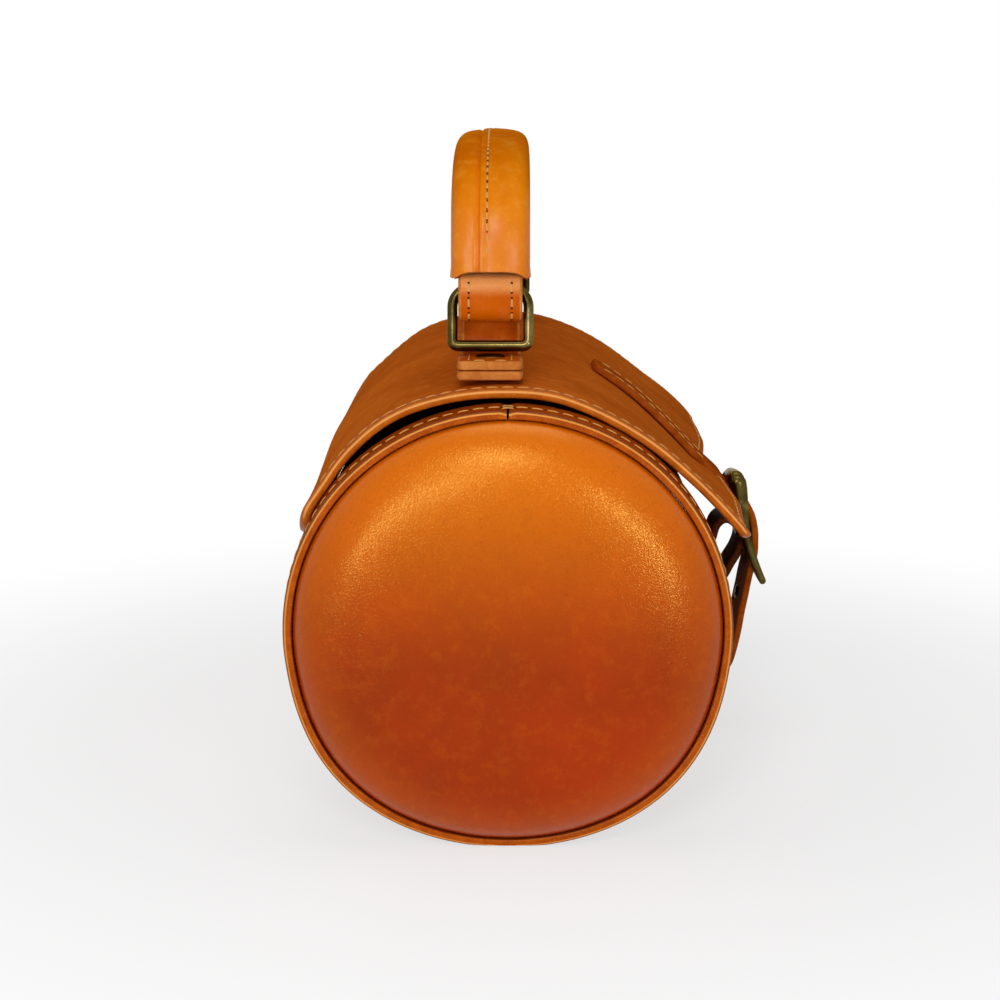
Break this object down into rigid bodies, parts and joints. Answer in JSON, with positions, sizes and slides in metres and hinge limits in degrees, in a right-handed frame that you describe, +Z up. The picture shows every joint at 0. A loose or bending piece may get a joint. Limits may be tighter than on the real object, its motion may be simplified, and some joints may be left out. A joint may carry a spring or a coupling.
{
  "type": "barrel satchel",
  "caption": "Small barrel-shaped leather satchel with domed round ends, a saddle lid, a rolled top handle, D-rings and a front strap with a brass slide and flat magnetic catch.",
  "frame": {"origin": "on the ground under the middle of the whole bag's bounds; the barrel's axis is 10.6 mm behind it", "axes": "+Y along the barrel, away from its near round end; +X towards the front strap; +Z up"},
  "size_m": [0.1636, 0.2732, 0.2201],
  "materials": {
    "barrel_shell": "semi-gloss grained leather",
    "barrel_lining": "woven cloth",
    "end_panel_near": "semi-gloss grained leather",
    "end_panel_far": "semi-gloss grained leather",
    "end_binding_near": "semi-gloss leather with painted edges",
    "end_binding_far": "semi-gloss leather with painted edges",
    "lid_back_band": "semi-gloss grained leather",
    "catch_plate": "plated",
    "lid": "semi-gloss grained leather",
    "lid_lining": "matt leather",
    "strap_top": "semi-gloss leather with painted edges",
    "handle_base_near": "semi-gloss leather with painted edges",
    "handle_base_far": "semi-gloss leather with painted edges",
    "handle_foot_near": "semi-gloss leather with painted edges",
    "handle_foot_far": "semi-gloss leather with painted edges",
    "handle_rivet_near": "antique brass",
    "handle_rivet_far": "antique brass",
    "strap_end": "semi-gloss leather with painted edges",
    "slide_frame": "antique brass",
    "slide_chape": "matt leather",
    "catch_magnet": "plated",
    "strap_stud": "antique brass",
    "handle_strap": "semi-gloss leather with painted edges",
    "handle_padding": "felt filling",
    "handle_sleeve": "semi-gloss grained leather",
    "ring_tab_near": "semi-gloss leather with painted edges",
    "ring_tab_far": "semi-gloss leather with painted edges",
    "d_ring_near": "antique brass",
    "d_ring_far": "antique brass"
  },
  "bodies": {
    "bag": {"barrel_shell": "barrel_shell", "barrel_lining": "barrel_lining", "end_panel_near": "end_panel_near", "end_panel_far": "end_panel_far", "end_binding_near": "end_binding_near", "end_binding_far": "end_binding_far", "lid_back_band": "lid_back_band", "catch_plate": "catch_plate"},
    "lid": {"lid": "lid", "lid_lining": "lid_lining", "strap_top": "strap_top", "handle_base_near": "handle_base_near", "handle_base_far": "handle_base_far", "handle_foot_near": "handle_foot_near", "handle_foot_far": "handle_foot_far", "handle_rivet_near": "handle_rivet_near", "handle_rivet_far": "handle_rivet_far"},
    "closure": {"strap_end": "strap_end", "slide_frame": "slide_frame", "slide_chape": "slide_chape", "catch_magnet": "catch_magnet", "strap_stud": "strap_stud"},
    "handle": {"handle_strap": "handle_strap", "handle_padding": "handle_padding", "handle_sleeve": "handle_sleeve", "ring_tab_near": "ring_tab_near", "ring_tab_far": "ring_tab_far"},
    "ring_near": {"d_ring_near": "d_ring_near"},
    "ring_far": {"d_ring_far": "d_ring_far"}
  },
  "joints": [
    {"name": "lid_open", "type": "hinge", "parent": "bag", "child": "lid", "pos_m": [-0.07635, 0, 0.1087], "axis": [0, -1, 0], "range_deg": [0, 135]},
    {"name": "closure_lift", "type": "hinge", "parent": "lid", "child": "closure", "pos_m": [0.06461, 0, 0.09775], "axis": [0, -1, 0], "range_deg": [0, 100]},
    {"name": "handle_lean", "type": "hinge", "parent": "lid", "child": "handle", "pos_m": [-0.01745, 0, 0.1509], "axis": [0, 1, 0], "range_deg": [-8, 8]},
    {"name": "ring_near_swing", "type": "hinge", "parent": "handle", "child": "ring_near", "pos_m": [-0.01745, -0.0942, 0.1711], "axis": [-1, 0, 0], "range_deg": [0, 80]},
    {"name": "ring_far_swing", "type": "hinge", "parent": "handle", "child": "ring_far", "pos_m": [-0.01745, 0.0942, 0.1711], "axis": [1, 0, 0], "range_deg": [0, 80]}
  ]
}
